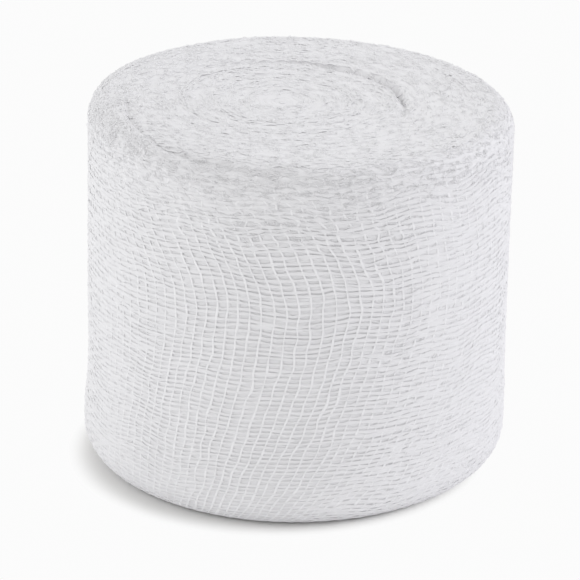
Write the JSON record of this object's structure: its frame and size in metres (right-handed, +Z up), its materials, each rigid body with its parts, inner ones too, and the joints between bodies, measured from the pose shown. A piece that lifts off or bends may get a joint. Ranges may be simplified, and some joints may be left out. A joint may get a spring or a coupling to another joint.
{
  "type": "boxing hand wrap gauze roll",
  "caption": "Coreless roll of white open-weave cotton gauze for wrapping hands, stood on its end, with a shallow dished top.",
  "frame": {"origin": "middle of the foot, on the surface that the roll stands on", "axes": "+Z up along the roll's axis, front towards -Y"},
  "size_m": [0.0588, 0.0576, 0.0516],
  "materials": {
    "gauze": "matt open-weave cotton gauze"
  },
  "bodies": {
    "root": {"gauze_roll": "gauze"}
  },
  "joints": []
}
